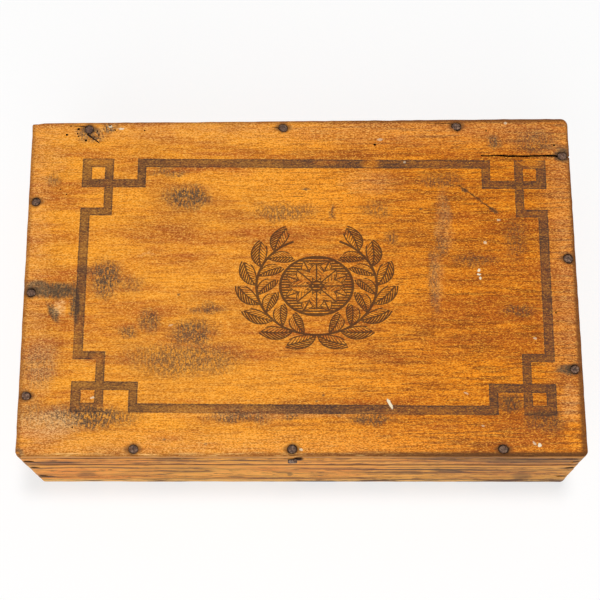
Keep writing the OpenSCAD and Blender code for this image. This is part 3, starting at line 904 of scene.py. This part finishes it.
def device(x, y):
    """The printed device: a wreath of two leafy branches round a ruled medallion with a rosette."""
    right, low, squeeze = 9, 1.5, 0.84
    ring, cell, lean, pairs = 27.5, 10.8, math.radians(38), 7
    medallion, ruling, petals = 16.6, 1.5, 8
    across = (x - right) * squeeze
    up = y + low
    radius = (across ** 2 + up ** 2) ** 0.5
    run = across.maths("ARCTAN2", abs(across), up * -1) * ring
    off = radius - ring
    inner = off < 0
    step = (run + inner * (cell / 2)) / cell
    count = step.maths("FLOOR", step)
    part = (step - count) * cell
    along = part * math.cos(lean) + abs(off) * math.sin(lean)
    aside = abs(off) * math.cos(lean) - part * math.sin(lean)
    grown = (count > inner - 0.5) * (count < pairs - 0.5)
    leaves = leaf_lines(along, aside, 16, 3.7, hatch=1.2, depth=0.3) * grown
    stem = abs(off).ease(0.75, 0.45) * (run < cell * pairs)
    turn = across.maths("ARCTAN2", across, up) * (petals / math.tau)
    flower = None
    rule = up / ruling
    ruled = (0.32 - abs(rule.maths("FRACT", rule) - 0.5)).ease(-0.05, 0.05) * (radius < medallion - 0.4)
    for shift, start, length, half in ((0.0, 4.5, 11, 3.3), (0.5, 2.6, 10.4, 3.7)):
        place = turn + shift
        swing = (place.maths("FRACT", place) - 0.5) * (math.tau / petals)
        along = radius * swing.maths("COSINE", swing) - start
        aside = radius * swing.maths("SINE", swing)
        petal = leaf_lines(along, aside, length, half, hatch=1.6, depth=0.15) * (radius > 3.0)
        cover = (along / length * (1 - along / length) * (4 * half) - abs(aside)).ease(-0.1, 0.05)
        flower = (ruled if flower is None else flower) * (1 - cover) | petal
    eye = abs(radius - 2.6).ease(0.7, 0.35) | radius.ease(1.5, 1.2)
    return leaves | stem | flower | eye | abs(radius - medallion).ease(0.8, 0.5)


honey, amber, russet = tone(255, 161, 30), tone(255, 148, 13), tone(190, 94, 14)
late_wood, fibre_dark, fibre_light = tone(124, 59, 9), tone(158, 80, 14), tone(255, 176, 54)
browned, pore = tone(152, 77, 19), tone(114, 54, 10)
gleam_left, gleam_right = tone(255, 189, 80), tone(255, 180, 62)
damp, grease, nail_stain = tone(74, 57, 46), tone(68, 55, 43), tone(64, 48, 36)
pale_dust, white_paint = tone(240, 186, 122), tone(238, 222, 190)
border_ink, device_ink = tone(68, 49, 40), tone(70, 43, 24)
# The second colour here is painted shade, with some dark dust, for the hollows below the face.
rim_brown, hollow_shade_and_dust = tone(112, 66, 30), tone(50, 34, 24)
fore_dark, fore_light = tone(84, 52, 26), tone(255, 208, 132)
edge_light, edge_dark = tone(242, 164, 76), tone(112, 72, 40)
finish, (x, y, z), facing = new_finish("printed_honey_varnish")
damp_plan = ragged(x, y, size=9, reach=9)
plan = ragged(x, y, size=2.5, reach=2.0)
pale_zone = marked(damp_plan, PALE_ZONES, 1.4, 0.2)
brown_zone = marked(damp_plan, BROWN_ZONES, 1.4, 0.2)
warm = mottle(x * 0.02, y * 0.13, z * 0.1, 5.0, 0.62) + (brown_zone - pale_zone) * 0.15
grain = mottle(x * 0.05, y * 0.8, z * 0.8, 4.0, 0.7)
fibre = mottle(x * 0.1, y * 1.9, z * 1.3, 3.0, 0.7)
cloud = mottle(x * 0.02 + 5, y * 0.035, z * 0.05, 4.0, 0.65)
grit = mottle(x * 0.9, y * 2.4, z * 1.2, 2.0, 0.8)
comb = mottle(x * 1.1, y * 0.36 + 17, z, 2.0, 0.65)
wobble = mottle(x * 0.3, y * 0.6, z, 2.0, 0.6) - 0.5
rim = (half_width - abs(x)) & (half_depth - abs(y))
to_right = x.ease(-60, 110)
colour = to_right.between(honey, amber)
colour = warm.ease(0.36, 0.68).between(colour, russet)
colour = (grain.ease(0.5, 0.6) * (0.3 + to_right * 0.6)).between(colour, late_wood)
colour = (fibre.ease(0.5, 0.68) * (0.5 + to_right * 0.25)).between(colour, fibre_dark)
colour = (fibre.ease(0.46, 0.32) * 0.55).between(colour, fibre_light)
age = to_right * 0.2 + cloud.ease(0.45, 0.68) * 0.45
colour = (age * (0.4 + grain) * (1 - pale_zone * 0.6)).between(colour, browned)
colour = (grit.ease(0.48, 0.64) * (0.58 + to_right * 0.24)).between(colour, pore)
gleam = to_right.between(gleam_left, gleam_right)
colour = (grit.ease(0.47, 0.31) * 0.9).between(colour, gleam)
dark_marks = marked(damp_plan, STAINS, 1.3, 0.35)
broken = comb.ease(0.42, 0.54) * 0.7 + grit.ease(0.44, 0.6) * 0.3
colour = (dark_marks * (broken + 0.2)).between(colour, damp)
smear = marked(plan, SMEARS, 1.25, 0.6)
colour = (smear * (0.65 + broken * 0.35)).between(colour, grease)
veil = rim.ease(24, 3) * (0.34 - to_right * (y.ease(-30, -80) * 0.22 + 0.06)) | 0.13 - to_right * 0.13
dust = marked(damp_plan, DUSTY, 1.3, 0.3) | veil
colour = (dust * (0.1 + grit.ease(0.6, 0.36))).between(colour, pale_dust)
halo = None
for point, _ in panel_nails:
    left, up = point.x / MM, point.y / MM
    ring = blot(plan, left, up, 5.2, 3) & blot(plan, left, up, 3.6, 3.9)
    halo = ring if halo is None else halo & ring
colour = ((halo + grit).ease(1.6, 1.15) * 0.6).between(colour, nail_stain)
bars = fret(x + wobble * 0.7, y + wobble * 0.7)
ink = bars.ease(-0.25, 0.25) * (0.8 + abs(bars - 0.35).ease(0.5, 0.1) * 0.2 + (cloud - 0.5) * 0.8)
worn_print = marked(plan, WORN_PRINT)
ink = ink * (0.7 + fibre * 0.4 + (grit - 0.5) * 1.3) * (1 - worn_print)
colour = ink.between(colour, border_ink)
lines = device(x + wobble * 0.3, y + wobble * 0.3) * (fibre.ease(0.15, 0.42) * 0.4 + 0.6)
colour = (lines * 0.9).between(colour, device_ink)
colour = (rim.ease(2.6, 0.3) * (0.2 + to_right * 0.4 + grit * 0.6)).between(colour, rim_brown)
paint = marked(plan, SPECKS, 1.1, 0.75)
colour = paint.between(colour, white_paint)
# Painted shade, with some dark dust, inside the splits, scratches, holes, nail dents and chips that sink
# below the face, away from its edge.
recess_shade_mask = (box_height - z).ease(0.3, 0.8) * rim.ease(1.0, 2.0)
colour = recess_shade_mask.between(colour, hollow_shade_and_dust)
fore_edge = (y + half_depth).ease(2.6, 1.0)
colour = (fore_edge * to_right * (0.4 + grit * 0.7)).between(colour, fore_dark)
colour = (fore_edge * (1 - to_right) * fibre.ease(0.48, 0.36) * 0.8).between(colour, fore_light)
edge = 1 - abs(facing[2]).ease(0.3, 0.85)
dull = cloud.ease(0.4, 0.65) * 0.3 + grain.ease(0.42, 0.62) * 0.45 + x.ease(-20, 130) * 0.3
edge_tone = dull.between(edge_light, edge_dark)
colour = (edge * (1 - recess_shade_mask) * 0.9).between(colour, edge_tone)
raw, _, _ = bare(x, y, z, (-330, 40, 2.3))
under = facing[2].ease(-0.3, -0.8)
colour = under.between(colour, raw)
roughness = 0.52 + dark_marks * 0.15 + under * 0.25 + fibre * 0.1
height = fibre * 0.6 + grit * 0.4 + paint * 0.8
complete(finish, colour, roughness, height, depth=0.12 * MM, gloss=0.07)
panel.data.materials.append(finish)
hold(panel)
bpy.ops.object.shade_smooth_by_angle(angle=SMOOTH)
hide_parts("lid_panel")
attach(panel, "lid")


# Panel nails: twelve wire nails round the rim of the panel, driven down through it into the
# lid's frame until their rusted heads lie just under its face.
PANEL_NAIL = 16 * MM
nails = set_out(wire_nail(PANEL_NAIL), "nails_of_panel", panel_nails)
finish_iron(nails, nail_rust, "nail_iron", "lid", "lid_panel_nails")


# Studio: a plain white floor and an even white sky, with a small lamp nearly overhead and a
# wide, weaker one in front. The floor is seen as near white, with the box's soft shadow.
def seen(brush):
    """1 where a ray is looked along, straight, in a mirror or through glass, and 0 for a ray of light."""
    rays = brush.add("ShaderNodeLightPath", {}, {}, "Is Camera Ray")
    return rays | rays.other("Is Glossy Ray") | rays.other("Is Transmission Ray")


def soft_lamp(place, size, level):
    """A square lamp that shines on the box, and lights what faces it at the given level."""
    bpy.ops.object.select_all(action="DESELECT")
    bpy.ops.object.light_add(type="AREA", location=place)
    lamp = bpy.context.object
    aim = LAMPS_AIM - lamp.location
    lamp.rotation_euler = aim.to_track_quat("-Z", "Y").to_euler()
    lamp.data.size = size
    lamp.data.energy = level * (math.pi * aim.length) ** 2


FLOOR_SIZE, FLOOR_DROP, FLOOR_GREY, FLOOR_GLOW = 8, 0.4 * MM, 0.97, 0.68
# How bright the sky is as a source of light. Where it is seen, it is white.
SKY = 0.27
LAMPS_AIM = Vector((0, 0, 0.05))
bpy.ops.object.select_all(action="DESELECT")
bpy.ops.mesh.primitive_plane_add(size=FLOOR_SIZE, location=(0, 0, -FLOOR_DROP))
floor = bpy.context.object
floor.name = "floor"
bpy.ops.object.transform_apply(location=True)
sheet = bpy.data.materials.new("white_floor")
sheet.use_nodes = True
brush = Paint(sheet.node_tree)
matt = brush.add("ShaderNodeBsdfDiffuse", {}, {"Color": (FLOOR_GREY, FLOOR_GREY, FLOOR_GREY, 1)})
glow = brush.add("ShaderNodeEmission", {}, {"Color": (1, 1, 1, 1), "Strength": 1.0})
shown = brush.add("ShaderNodeMixShader", {}, {0: seen(brush) * FLOOR_GLOW, 1: matt, 2: glow})
brush.wire(sheet.node_tree.nodes["Material Output"], {"Surface": shown})
floor.data.materials.append(sheet)

sky = bpy.data.worlds.new("white_room")
bpy.context.scene.world = sky
sky.use_nodes = True
brush = Paint(sky.node_tree)
room = sky.node_tree.nodes["Background"]
brush.wire(room, {"Color": (1, 1, 1, 1), "Strength": seen(brush) * (1 - SKY) + SKY})
soft_lamp(place=(0.12, 0.1, 2.2), size=0.3, level=0.6)
soft_lamp(place=(-0.3, -1.4, 1.4), size=1.6, level=0.31)


# Camera: a long lens above the box and a little in front of it, looking down steeply, as the
# box was photographed. Its place is in metres and its angles are in radians.
EYE = (0.01152, -0.24055, 0.88921)
HEADING, TILT, ROLL = 0.04989, 0.27918, -0.05133
FILM_WIDE, LENS = 36, 92.867
bpy.ops.object.select_all(action="DESELECT")
bpy.ops.object.camera_add(location=EYE)
camera = bpy.context.object
look = Matrix.Rotation(HEADING, 3, "Z") @ Matrix.Rotation(TILT, 3, "X") @ Matrix.Rotation(ROLL, 3, "Z")
camera.rotation_euler = look.to_euler()
camera.data.sensor_width = FILM_WIDE
camera.data.lens = LENS
bpy.context.scene.camera = camera
bpy.context.scene.view_settings.view_transform = "Standard"
